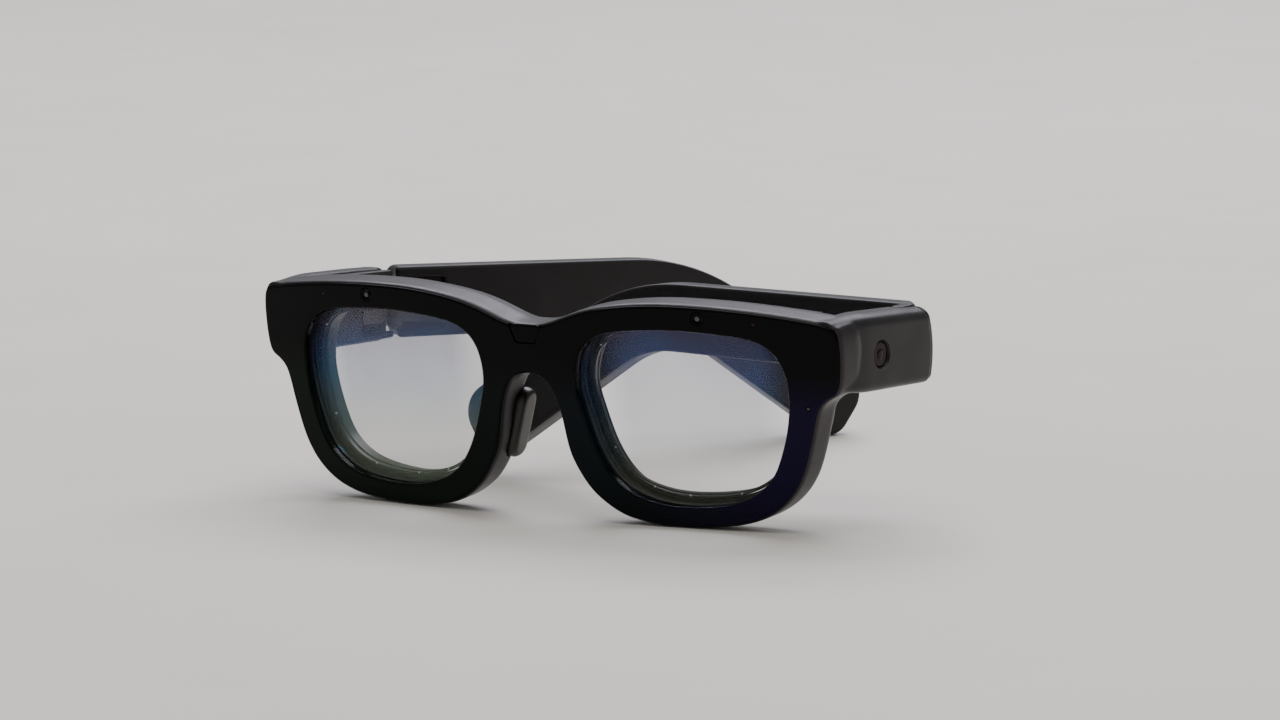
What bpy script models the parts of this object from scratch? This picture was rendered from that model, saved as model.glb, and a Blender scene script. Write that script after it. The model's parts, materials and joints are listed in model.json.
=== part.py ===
"""Smart glasses: a deep glossy front with two lenses, and two thick folding temples.

Lengths are in millimetres and are scaled to metres when a mesh is made.
+X is the wearer's left, -Y is the way the wearer looks, and +Z is up. The rims stand on Z = 0.
"""

import math

import bmesh
import bpy
import numpy as np
from mathutils import Matrix, Vector
from mathutils.geometry import delaunay_2d_cdt

for old in list(bpy.data.objects):
    bpy.data.objects.remove(old)

MM = 0.001

# Front: wrap, lean and the layers from the glossy face to the wearer's face
FRONT_Y = -66.8
STAND_Z = -0.165
WRAP_RADIUS = 340.0
LEAN = math.radians(-5.2)
COVER_DEPTH = 1.6
FRAME_FRONT, FRAME_REAR = 1.9, 8.0
BACK_FRONT, BACK_REAR = 8.3, 9.5
POCKET_FLOOR = 3.4
BROW_EXTRA_DEPTH = 2.5
LENS_FRONT, LENS_REAR = 2.3, 3.5
GUIDE_FRONT, GUIDE_REAR = 3.9, 4.7
SHOULDER = 5.2

# End pieces and hinges
HINGE_X, HINGE_Y, HINGE_Z = 65.8, 41.7, 44.9
HINGE_TILT = math.radians(3.35)
BLOCK_OUTER = 8.4
SHELL_INNER = 2.1
COVER_INNER, COVER_OUTER = 0.3, 1.75
BLOCK_START, BLOCK_END = 8.0, 39.7
KNUCKLE_R, KNUCKLE_BORE, PIN_R = 1.8, 0.73, 0.65
KNUCKLE_TOP, KNUCKLE_STEP, KNUCKLE_LENGTH = -2.9, 2.0, 1.85
LEAF_END, LEAF_TOP, LEAF_BOTTOM = 11.2, -3.5, -12.1

# Temples: straight arm, ear bend and drop
SEAM = 56.0
EAR_ANGLE = math.radians(34.2)
LOWER_BEND, UPPER_BEND = 66.0, 71.4
ARM_HEIGHT = 15.6
TIP_LOW, TIP_HIGH = 106.45, 114.5
OPEN_ANGLE = {1: 0.0, -1: math.radians(57.4)}

# Nose pads: centre from the front's middle, size, and lean with the nose wall
PAD_CENTRE = (8.1, 6.5, 19.0)
PAD_LENGTH, PAD_DEPTH, PAD_THICK = 15.5, 6.4, 2.4
PAD_LEAN, PAD_YAW = math.radians(14.8), math.radians(6.0)

# Small round parts on the front
BROW_CAMERA = (42.7, 45.7)
IR_LIGHT = (55.5, 45.0)
STATUS_LIGHT = (66.7, 27.4)
SENSOR_EYE = (0.0, 39.3)
SIDE_CAMERA_Y, SIDE_CAMERA_Z, SIDE_CAMERA_R = 20.9, 37.1, 2.7

COVER_HALF = [
    (0, 42.2), (5, 42.7), (12, 45.2), (19, 47.0), (30, 48.3), (42, 48.4), (54, 47.8), (65, 46.7),
    (72, 45.5), (74.2, 43.6), (74.5, 37), (73.5, 30.9), (70.6, 28.8), (68.7, 26.4), (66.9, 19.6),
    (64.3, 12), (60.3, 6.5), (54.2, 2.6), (45.5, 0.6), (33, 0.1), (26.5, 0.7), (20.5, 2.3),
    (14.5, 6.3), (10.7, 11.4), (8.7, 16), (7.3, 23.5), (5.6, 28), (3.6, 30.4), (0, 31.4)]
LENS_OPENING = [
    (61.9, 24.5), (62.4, 30), (61.6, 35.4), (58.6, 39.6), (53.5, 41.7), (45, 42.5), (36.5, 42.8),
    (27, 42.3), (18.6, 41), (13.6, 37.2), (11.9, 30.5), (13.2, 24), (16.6, 14.6), (22, 8.2),
    (31, 5), (42, 4.9), (51, 6.8), (57.2, 11.5), (60.4, 18.5)]
CHANNEL_HALF = [
    (0, 40.9), (5, 41.3), (12, 43.7), (19, 45.5), (30, 46.9), (42, 47.0), (54, 46.4), (57.5, 45.8),
    (57.5, 44.2), (54, 43.8), (45, 44.2), (36, 44.5), (27, 44.1), (18, 42.9), (12.5, 40.9),
    (9, 38), (0, 35.8)]


# ---- materials -------------------------------------------------------------------------------
def make_material(name, colour, roughness, metallic=0.0, transmission=0.0):
    """A Principled material."""
    mat = bpy.data.materials.new(name)
    mat.use_nodes = True
    shader = mat.node_tree.nodes["Principled BSDF"]
    shader.inputs["Base Color"].default_value = (*colour, 1.0)
    shader.inputs["Roughness"].default_value = roughness
    shader.inputs["Metallic"].default_value = metallic
    shader.inputs["Transmission Weight"].default_value = transmission
    mat.diffuse_color = (*colour, 1.0)
    return mat


MATS = {
    "gloss_black": make_material("gloss_black", (0.012, 0.014, 0.016), 0.08),
    "satin_charcoal": make_material("satin_charcoal", (0.045, 0.044, 0.048), 0.42),
    "inner_black": make_material("inner_black", (0.02, 0.02, 0.022), 0.55),
    "lens_glass": make_material("lens_glass", (0.86, 0.9, 0.88), 0.02, 0.0, 0.9),
    "guide_glass": make_material("guide_glass", (0.7, 0.78, 0.9), 0.03, 0.0, 0.9),
    "camera_glass": make_material("camera_glass", (0.03, 0.025, 0.03), 0.05),
    "circuit": make_material("circuit", (0.02, 0.09, 0.06), 0.5),
    "steel": make_material("steel", (0.55, 0.55, 0.56), 0.3, 1.0),
    "cell_foil": make_material("cell_foil", (0.35, 0.36, 0.38), 0.4, 0.8),
    "pad_rubber": make_material("pad_rubber", (0.05, 0.045, 0.035), 0.5),
    "module_grey": make_material("module_grey", (0.12, 0.12, 0.13), 0.45),
    "light_white": make_material("light_white", (0.8, 0.8, 0.78), 0.3),
}


# ---- outlines --------------------------------------------------------------------------------
def smooth_loop(points, spacing):
    """A closed Catmull-Rom curve through the points, resampled at an even spacing."""
    ctrl = np.array(points, float)
    count = len(ctrl)
    fine = []
    for i in range(count):
        p0, p1, p2, p3 = (ctrl[(i + j - 1) % count] for j in range(4))
        for t in np.linspace(0.0, 1.0, 12, endpoint=False):
            fine.append(0.5 * (2 * p1 + (p2 - p0) * t + (2 * p0 - 5 * p1 + 4 * p2 - p3) * t ** 2
                               + (3 * p1 - p0 - 3 * p2 + p3) * t ** 3))
    fine = np.array(fine + [fine[0]])
    run = np.concatenate([[0.0], np.cumsum(np.linalg.norm(np.diff(fine, axis=0), axis=1))])
    steps = max(8, int(round(run[-1] / spacing)))
    at = np.linspace(0.0, run[-1], steps, endpoint=False)
    return np.column_stack([np.interp(at, run, fine[:, 0]), np.interp(at, run, fine[:, 1])])


def mirrored_half(half):
    """The full outline of a half whose first and last points lie on the mirror line."""
    return list(half) + [(-x, z) for x, z in reversed(half[1:-1])]


def fillet_loop(corners, arc_step=math.radians(16)):
    """A polygon whose corners (x, z, radius) are rounded with arcs."""
    out = []
    count = len(corners)
    for i in range(count):
        corner = Vector(corners[i][:2])
        before = (Vector(corners[i - 1][:2]) - corner).normalized()
        after = (Vector(corners[(i + 1) % count][:2]) - corner).normalized()
        radius = corners[i][2]
        if radius <= 0:
            out.append(tuple(corner))
            continue
        half = before.angle(after) / 2
        bisector = (before + after).normalized()
        centre = corner + bisector * (radius / math.sin(half))
        start = corner + before * (radius / math.tan(half)) - centre
        turn = math.pi - 2 * half
        if start.x * before.y - start.y * before.x > 0:
            turn = -turn
        steps = max(2, int(math.ceil(abs(turn) / arc_step)))
        for k in range(steps + 1):
            a = turn * k / steps
            out.append((centre.x + start.x * math.cos(a) - start.y * math.sin(a),
                        centre.y + start.x * math.sin(a) + start.y * math.cos(a)))
    out = np.array(out)
    return out[np.linalg.norm(out - np.roll(out, 1, axis=0), axis=1) > 1e-3]


def circle_loop(centre, radius, sides=12):
    """A round outline."""
    angles = np.linspace(0.0, 2 * math.pi, sides, endpoint=False)
    return np.column_stack([centre[0] + radius * np.cos(angles), centre[1] + radius * np.sin(angles)])


def grown(loop, distance):
    """The loop moved outward by a distance, or inward if it is negative."""
    loop = np.asarray(loop, float)
    ahead = np.roll(loop, -1, axis=0)
    behind = np.roll(loop, 1, axis=0)
    area = np.sum(loop[:, 0] * ahead[:, 1] - ahead[:, 0] * loop[:, 1])
    edge_a = (loop - behind) / np.maximum(np.linalg.norm(loop - behind, axis=1), 1e-9)[:, None]
    edge_b = (ahead - loop) / np.maximum(np.linalg.norm(ahead - loop, axis=1), 1e-9)[:, None]
    normal = np.column_stack([edge_a[:, 1] + edge_b[:, 1], -edge_a[:, 0] - edge_b[:, 0]])
    normal /= np.linalg.norm(normal, axis=1)[:, None]
    miter = np.maximum(0.6, np.abs(normal[:, 0] * edge_b[:, 1] - normal[:, 1] * edge_b[:, 0]))
    return loop + normal * (distance * np.sign(area) / miter)[:, None]


def inside(point, loop):
    """True if the point is inside the closed loop."""
    x, z = point
    ahead = np.roll(loop, -1, axis=0)
    crosses = (loop[:, 1] > z) != (ahead[:, 1] > z)
    with np.errstate(divide="ignore", invalid="ignore"):
        at = loop[:, 0] + (z - loop[:, 1]) * (ahead[:, 0] - loop[:, 0]) / (ahead[:, 1] - loop[:, 1])
    return bool(np.sum(crosses & (x < at)) % 2)


def fill_triangles(outer, holes, grid):
    """Triangles that fill an outline with holes, and the extra grid points that they use."""
    loops = [np.asarray(outer)] + [np.asarray(h) for h in holes]
    points = [tuple(p) for loop in loops for p in loop]
    edges = []
    start = 0
    for loop in loops:
        edges += [(start + i, start + (i + 1) % len(loop)) for i in range(len(loop))]
        start += len(loop)
    extra = []
    if grid:
        low, high = loops[0].min(axis=0), loops[0].max(axis=0)
        for gx in np.arange(low[0] + grid / 2, high[0], grid):
            for gz in np.arange(low[1] + grid / 2, high[1], grid):
                spot = np.array([gx, gz])
                near = min(np.linalg.norm(loop - spot, axis=1).min() for loop in loops)
                if near > grid * 0.45 and inside(spot, loops[0]) and not any(inside(spot, h) for h in loops[1:]):
                    extra.append((gx, gz))
    found, _, faces, origins, _, _ = delaunay_2d_cdt([Vector(p) for p in points + extra], edges, [], 0, 1e-7)
    triangles = []
    for face in faces:
        middle = sum((found[i] for i in face), Vector((0, 0))) / len(face)
        if inside(middle, loops[0]) and not any(inside(middle, h) for h in loops[1:]):
            triangles.append([origins[i][0] for i in face])
    return triangles, extra


# ---- bodies ----------------------------------------------------------------------------------
def add_object(name, verts, faces, material, place=None):
    """A closed mesh object; place maps (x, y, z) in mm to the object's own mm."""
    spots = [place(*v) if place else v for v in verts]
    mesh = bpy.data.meshes.new(name)
    mesh.from_pydata([Vector(s) * MM for s in spots], [], faces)
    work = bmesh.new()
    work.from_mesh(mesh)
    bmesh.ops.recalc_face_normals(work, faces=work.faces)
    work.to_mesh(mesh)
    work.free()
    obj = bpy.data.objects.new(name, mesh)
    bpy.context.scene.collection.objects.link(obj)
    if material:
        mesh.materials.append(MATS[material])
    return obj


def slab(name, outer, levels, material, holes=(), grid=0.0, place=None):
    """A body with one outline in (x, z), stacked along y.

    levels lists (y, growth of the outline, growth of the holes) from one end to the other.
    """
    verts, faces = [], []
    loop_count = 1 + len(holes)
    rows = []
    for y, grow_outer, grow_hole in levels:
        row = []
        for k, loop in enumerate([outer, *holes]):
            shape = grown(loop, grow_outer if k == 0 else grow_hole)
            row.append((len(verts), len(shape), shape))
            verts += [(x, y, z) for x, z in shape]
        rows.append(row)
    for lower, upper in zip(rows, rows[1:]):
        for k in range(loop_count):
            a, n, _ = lower[k]
            b = upper[k][0]
            faces += [(a + i, a + (i + 1) % n, b + (i + 1) % n, b + i) for i in range(n)]
    for row, y in ((rows[0], levels[0][0]), (rows[-1], levels[-1][0])):
        shapes = [entry[2] for entry in row]
        triangles, extra = fill_triangles(shapes[0], shapes[1:], grid)
        numbers = [entry[0] + i for entry in row for i in range(entry[1])]
        numbers += range(len(verts), len(verts) + len(extra))
        verts += [(x, y, z) for x, z in extra]
        faces += [tuple(numbers[i] for i in tri) for tri in triangles]
    return add_object(name, verts, faces, material, place)


def box(name, low, high, material, place=None):
    """A plain block between two corners."""
    loop = [(low[0], low[2]), (high[0], low[2]), (high[0], high[2]), (low[0], high[2])]
    return slab(name, np.array(loop), [(low[1], 0, 0), (high[1], 0, 0)], material, place=place)


def combine(obj, others, operation):
    """Apply a Boolean of each other object to obj, and remove the others."""
    for other in others:
        mod = obj.modifiers.new(operation.lower(), "BOOLEAN")
        mod.operation = operation
        mod.solver = "EXACT"
        mod.object = other
    graph = bpy.context.evaluated_depsgraph_get()
    result = bpy.data.meshes.new_from_object(obj.evaluated_get(graph))
    obj.modifiers.clear()
    obj.data = result
    for other in others:
        bpy.data.objects.remove(other)
    return obj


def move_points(obj, place):
    """Move each point of a mesh by a mapping in millimetres."""
    for vert in obj.data.vertices:
        vert.co = Vector(place(*(vert.co / MM))) * MM


# ---- places ----------------------------------------------------------------------------------
def smoothstep(value, low, high):
    """0 below low and 1 above high, with a soft change between."""
    t = min(1.0, max(0.0, (value - low) / (high - low)))
    return t * t * (3 - 2 * t)


def on_front(x, y, z):
    """A point of the flat front, wrapped round the face, leaned and deepened at the brow."""
    y += BROW_EXTRA_DEPTH * smoothstep(z, 26, 42) * min(1.0, max(0.0, (y - 6.5) / 3.0))
    wrap = x * x / (2 * WRAP_RADIUS)
    return (x, FRONT_Y + wrap + z * math.sin(LEAN) + y * math.cos(LEAN),
            STAND_Z + z * math.cos(LEAN) - y * math.sin(LEAN))


def on_side(side):
    """A point of an end piece: x along Y, y outward from the hinge axis plane, z up."""
    return lambda x, y, z: (side * (HINGE_X + y), FRONT_Y + x, z)


def hinge_frame(name, side, angle):
    """An empty on a hinge axis, turned about it; angle 0 is folded flat."""
    empty = bpy.data.objects.new(name, None)
    bpy.context.scene.collection.objects.link(empty)
    empty.location = Vector((side * HINGE_X, FRONT_Y + HINGE_Y, HINGE_Z)) * MM
    empty.rotation_euler = (Matrix.Rotation(-HINGE_TILT, 3, "X")
                            @ Matrix.Rotation(-side * angle, 3, "Z")).to_euler()
    return empty


def on_arm(side):
    """A point of a temple: x from the hinge to the tip, y outward, z up, in its empty's frame."""
    return lambda x, y, z: (-side * x, y * (1 - 0.0011 * max(x, 0.0)), z)


def name_for(base, side):
    """The wearer's left is +X."""
    return f"{base}_{'left' if side > 0 else 'right'}"


# ---- the front -------------------------------------------------------------------------------
COVER_LOOP = smooth_loop(mirrored_half(COVER_HALF), 3.3)
OPENINGS = {side: smooth_loop([(side * x, z) for x, z in LENS_OPENING], 4.0) for side in (1, -1)}
BACK_HALF = ([p for p in COVER_HALF if p[1] > 40 and p[0] < 62] + [(64.0, 46.9), (66.0, 45.4), (66.0, 29)]
             + [p for p in COVER_HALF if p[1] < 27 or p[0] < 6 and p[1] < 40])
BACK_LOOP = smooth_loop(mirrored_half(BACK_HALF), 3.2)


def front_cover():
    """The glossy face: one bevelled plate with lens openings, camera holes and a bridge notch."""
    cover = slab("front_cover", COVER_LOOP, [(0, -0.7, 0.5), (0.3, -0.15, 0.12), (0.7, 0, 0), (COVER_DEPTH, 0, 0)],
                 "gloss_black", [OPENINGS[1], OPENINGS[-1]], 9.0)
    holes = [rod("hole", (side * BROW_CAMERA[0], BROW_CAMERA[1]), 1.9, -1, 3) for side in (1, -1)]
    holes += [rod("hole", (side * IR_LIGHT[0], IR_LIGHT[1]), 0.8, -1, 3, 10) for side in (1, -1)]
    holes.append(rod("hole", STATUS_LIGHT, 0.8, -1, 3, 10))
    notch = fillet_loop([(-4.9, 44.5, 0), (-2.5, 38.0, 0.7), (2.5, 38.0, 0.7), (4.9, 44.5, 0)])
    holes.append(slab("hole", notch, [(-1, 0, 0), (3, 0, 0)], None))
    combine(cover, holes, "DIFFERENCE")
    move_points(cover, on_front)


def rod(name, centre, radius, y_low, y_high, sides=12, material=None, place=None):
    """A round body along y."""
    return slab(name, circle_loop(centre, radius, sides), [(y_low, 0, 0), (y_high, 0, 0)], material, place=place)


def block_profile(front=BLOCK_START, end=BLOCK_END):
    """The side outline of an end piece, in (Y, Z)."""
    return fillet_loop([(front, 29.9, 0), (end, 28.7, 2.6), (end, 44.9, 2.2), (front, 46.7, 0)])


def front_frame():
    """The structural frame: rims, brow and bridge, with a hollow end piece on each side."""
    levels = [(FRAME_FRONT, -0.1, 0.9), (SHOULDER - 0.05, -0.3, 0.9),
              (SHOULDER + 0.05, -0.31, -0.9), (FRAME_REAR, -0.5, -0.9)]
    frame = slab("front_frame", COVER_LOOP, levels, "satin_charcoal", [OPENINGS[1], OPENINGS[-1]], 9.0)
    cutters = [slab("channel", smooth_loop(mirrored_half(CHANNEL_HALF), 4.0),
                    [(POCKET_FLOOR, 0, 0), (12, 0, 0)], None, grid=7.0)]
    cutters += [rod("hole", (side * BROW_CAMERA[0], BROW_CAMERA[1]), 1.9, 1, 5.7) for side in (1, -1)]
    cutters += [rod("hole", (side * IR_LIGHT[0], IR_LIGHT[1]), 0.8, 1, 4.2, 10) for side in (1, -1)]
    cutters += [rod("hole", SENSOR_EYE, 1.5, 1, 4.2, 12)]
    combine(frame, cutters, "DIFFERENCE")
    move_points(frame, on_front)
    combine(frame, pad_holes(), "DIFFERENCE")
    for side in (1, -1):
        block = slab("block", block_profile(), [(SHELL_INNER, 0, 0), (7.3, 0, 0), (8.1, -0.35, 0),
                                                (BLOCK_OUTER, -1.0, 0)], None, place=on_side(side))
        combine(frame, [block], "UNION")
        hollow = fillet_loop([(15.5, 31.1, 0.5), (38.4, 30.1, 0.8), (38.4, 43.7, 0.8), (15.5, 44.8, 0.5)])
        pocket = slab("pocket", hollow, [(0.5, 0, 0), (7.0, 0, 0)], None, place=on_side(side))
        eye = rod("eye", (SIDE_CAMERA_Y, SIDE_CAMERA_Z), SIDE_CAMERA_R + 0.45, 6.5, 9.5, 20, place=on_side(side))
        combine(frame, [pocket, eye], "DIFFERENCE")
    combine(frame, [button_body("button_hole", 0.3, 41.0, 48.0, None)], "DIFFERENCE")


def rear_cover():
    """The face-side plate that closes the brow channel and backs the rims."""
    cover = slab("rear_cover", BACK_LOOP, [(BACK_FRONT, -0.9, -0.9), (9.0, -1.0, -0.8), (BACK_REAR, -1.7, -0.1)],
                 "satin_charcoal", [OPENINGS[1], OPENINGS[-1]], 7.0, on_front)
    combine(cover, pad_holes(), "DIFFERENCE")


def lens_parts(side):
    """Outer lens, display waveguide and the light ring inside the rim, for one eye."""
    opening = OPENINGS[side]
    slab(name_for("outer_lens", side), opening, [(LENS_FRONT, 0.45, 0), (LENS_REAR, 0.45, 0)],
         "lens_glass", grid=8.0, place=on_front)
    slab(name_for("waveguide", side), opening, [(GUIDE_FRONT, 0.45, 0), (GUIDE_REAR, 0.45, 0)],
         "guide_glass", grid=8.0, place=on_front)
    slab(name_for("light_ring", side), grown(opening, -1.25),
         [(5.0, 0, 0.6), (5.3, 0, 0), (9.2, 0, 0)], "inner_black", [grown(opening, -2.1)], place=on_front)


def front_electronics():
    """Brow board, cameras, infrared lights, status light and the bridge sensor."""
    board = [(x, z - 0.45 if i < 8 else z + 0.45) for i, (x, z) in enumerate(CHANNEL_HALF)]
    board = [(min(x, 56.9), z) for x, z in board]
    slab("brow_board", smooth_loop(mirrored_half(board), 5.0), [(5.7, 0, 0), (6.6, 0, 0)],
         "circuit", grid=7.0, place=on_front)
    for side in (1, -1):
        spot = (side * BROW_CAMERA[0], BROW_CAMERA[1])
        slab(name_for("brow_camera", side), circle_loop(spot, 1.5),
             [(0.35, -0.3, 0), (0.6, 0, 0), (5.3, 0, 0)], "camera_glass", place=on_front)
        rod(name_for("infrared_light", side), (side * IR_LIGHT[0], IR_LIGHT[1]), 0.5, 0.3, 5.3, 10,
            "camera_glass", on_front)
    rod("status_light", STATUS_LIGHT, 0.5, 0.25, 1.55, 10, "light_white", on_front)
    window = fillet_loop([(-3.9, 41.9, 0.5), (-2.3, 38.3, 0.6), (2.3, 38.3, 0.6), (3.9, 41.9, 0.5)])
    slab("bridge_window", window, [(0.15, -0.2, 0), (0.4, 0, 0), (1.6, 0, 0)], "camera_glass", place=on_front)
    box("bridge_sensor", (-2.0, 3.7, 38.0), (2.0, 5.4, 40.4), "module_grey", on_front)


def pad_place(side):
    """A point of a nose pad: x back, y outward from the nose, z up, leaning with the rim's nose wall."""
    tilt = (Matrix.Rotation(side * -PAD_LEAN, 3, "Y") @ Matrix.Rotation(side * -PAD_YAW, 3, "Z"))

    def place(x, y, z):
        spot = tilt @ Vector((side * y, x, z))
        return (side * PAD_CENTRE[0] + spot.x, FRONT_Y + PAD_CENTRE[1] + spot.y, PAD_CENTRE[2] + spot.z)
    return place


def pad_outline():
    """The long rounded outline of a nose pad."""
    return fillet_loop([(-PAD_DEPTH / 2, -PAD_LENGTH / 2, 3.0), (PAD_DEPTH / 2, -PAD_LENGTH / 2, 3.1),
                        (PAD_DEPTH / 2, PAD_LENGTH / 2, 3.0), (-PAD_DEPTH / 2, PAD_LENGTH / 2, 3.1)])


def pad_holes():
    """The pockets in the rims' nose walls that hold the pads and their clips."""
    return [slab("pad_hole", grown(pad_outline(), 0.25), [(-5.0, 0, 0), (PAD_THICK / 2 + 0.9, 0, 0)], None,
                 place=pad_place(side)) for side in (1, -1)]


def nose_pad(side):
    """A soft pad let into the rim's nose wall, and the steel clip behind it."""
    half = PAD_THICK / 2
    slab(name_for("nose_pad", side), pad_outline(),
         [(-half, -1.1, 0), (-0.5, 0, 0), (0.6, 0, 0), (half, -0.4, 0)], "pad_rubber", place=pad_place(side))
    slab(name_for("pad_arm", side), grown(pad_outline(), -0.7), [(half + 0.15, 0, 0), (half + 0.75, 0, 0)],
         "steel", place=pad_place(side))


# ---- end pieces ------------------------------------------------------------------------------
def button_body(name, gap, low, high, material):
    """The pill outline of the top button on the wearer's left end piece, as a solid along Z."""
    half = fillet_loop([(32.4 - gap, 3.0 - gap, 1.29 + gap), (39.0 + gap, 3.0 - gap, 1.29 + gap),
                        (39.0 + gap, 5.6 + gap, 1.29 + gap), (32.4 - gap, 5.6 + gap, 1.29 + gap)], math.radians(24))
    return slab(name, half, [(low, 0, 0), (high, 0, 0)], material,
                place=lambda x, y, z: (HINGE_X + z, FRONT_Y + x, y))


def end_piece(side):
    """Inner cover, rear cap, display engine, side camera and board of one end piece."""
    place = on_side(side)
    inner = fillet_loop([(16.4, 30.4, 0.6), (41.2, 29.3, 0.9), (41.2, 30.9, 0), (29.3, 30.9, 0.5),
                         (29.3, 42.6, 0.5), (41.2, 42.6, 0), (41.2, 44.4, 1.2), (16.4, 45.6, 0.6)])
    slab(name_for("end_piece_cover", side), inner, [(COVER_INNER, -0.3, 0), (0.6, 0, 0), (COVER_OUTER, 0, 0)],
         "satin_charcoal", place=place)
    rear = fillet_loop([(SHELL_INNER, 29.2, 1.0), (7.9, 29.2, 2.2), (7.9, 44.4, 2.2), (SHELL_INNER, 44.4, 1.0)])
    slab(name_for("rear_cap", side), rear, [(40.0, 0.2, 0), (40.8, 0, 0), (41.4, -0.7, 0)], "inner_black",
         place=lambda x, y, z: (side * (HINGE_X + x), FRONT_Y + y, z))
    box(name_for("display_engine", side), (16.0, 2.2, 31.6), (27.0, 3.9, 43.0), "module_grey", place)
    slab(name_for("side_camera", side), circle_loop((SIDE_CAMERA_Y, SIDE_CAMERA_Z), 2.6, 20),
         [(4.2, 0, 0), (7.5, 0, 0)], "module_grey", place=place)
    slab(name_for("side_camera_window", side), circle_loop((SIDE_CAMERA_Y, SIDE_CAMERA_Z), SIDE_CAMERA_R, 20),
         [(7.7, 0, 0), (8.1, 0, 0), (8.35, -0.5, 0)], "camera_glass", place=place)
    box(name_for("end_piece_board", side), (28.0, 5.9, 31.5), (37.8, 6.7, 40.0), "circuit", place)


def top_button():
    """The pressed button on the wearer's left end piece, and the switch under it."""
    button_body("action_button", 0.0, 42.9, 45.7, "satin_charcoal")
    box("button_switch", (34.2, 3.2, 40.6), (37.2, 5.4, 42.2), "module_grey", on_side(1))


# ---- hinges ----------------------------------------------------------------------------------
def hinge_leaf(name, side, reach, turns, parent):
    """A leaf plate with its knuckles; reach is +1 into the temple and -1 into the end piece."""
    def place(x, y, z):
        return (-side * x, y, z)

    mid = (LEAF_TOP + LEAF_BOTTOM) / 2
    plate_loop = fillet_loop([(reach * 0.9, LEAF_BOTTOM, 0), (reach * LEAF_END, LEAF_BOTTOM, 0.8),
                              (reach * LEAF_END, LEAF_TOP, 0.8), (reach * 0.9, LEAF_TOP, 0)])
    leaf = slab(name, plate_loop, [(0.45, 0, 0), (1.6, 0, 0)], "steel",
                [circle_loop((reach * 8.0, mid), 1.0, 12)], place=place)
    for turn in range(5):
        top = KNUCKLE_TOP - 0.2 - turn * KNUCKLE_STEP + (KNUCKLE_STEP - KNUCKLE_LENGTH) / 2
        span = (top - KNUCKLE_LENGTH, top)
        if turn in turns:
            knuckle = slab("knuckle", circle_loop((0, 0), KNUCKLE_R, 16), [(span[0], 0, 0), (span[1], 0, 0)],
                           None, place=lambda x, y, z: place(x, z, y))
            combine(leaf, [knuckle], "UNION")
        else:
            relief = slab("relief", circle_loop((0, 0), KNUCKLE_R + 0.25, 16),
                          [(span[0] - 0.15, 0, 0), (span[1] + 0.15, 0, 0)], None,
                          place=lambda x, y, z: place(x, z, y))
            combine(leaf, [relief], "DIFFERENCE")
    bore = slab("bore", circle_loop((0, 0), KNUCKLE_BORE, 16), [(-20, 0, 0), (2, 0, 0)], None,
                place=lambda x, y, z: place(x, z, y))
    combine(leaf, [bore], "DIFFERENCE")
    leaf.parent = parent
    screw = slab(name.replace("leaf", "screw"), circle_loop((reach * 8.0, mid), 0.85, 12),
                 [(-0.05, 0.55, 0), (0.33, 0.55, 0), (0.34, 0, 0), (2.0, 0, 0)], "steel", place=place)
    screw.parent = parent


def hinge_set(side, front_empty, arm_empty):
    """Both leaves, their screws and the pin of one hinge."""
    hinge_leaf(name_for("frame_leaf", side), side, -1, (0, 2, 4), front_empty)
    hinge_leaf(name_for("temple_leaf", side), side, 1, (1, 3), arm_empty)
    pin = slab(name_for("hinge_pin", side), circle_loop((0, 0), PIN_R, 16),
               [(-13.5, 0.45, 0), (-13.25, 0.45, 0), (-13.2, 0, 0), (-2.85, 0, 0)], "steel",
               place=lambda x, y, z: (x, z, y))
    pin.parent = front_empty


# ---- temples ---------------------------------------------------------------------------------
def lower_edge(x):
    """Height of the arm's lower edge ahead of the ear bend."""
    return -ARM_HEIGHT + 0.026 * x


def upper_edge(x):
    """Height of the arm's upper edge ahead of the ear bend."""
    return 0.011 * x


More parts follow.
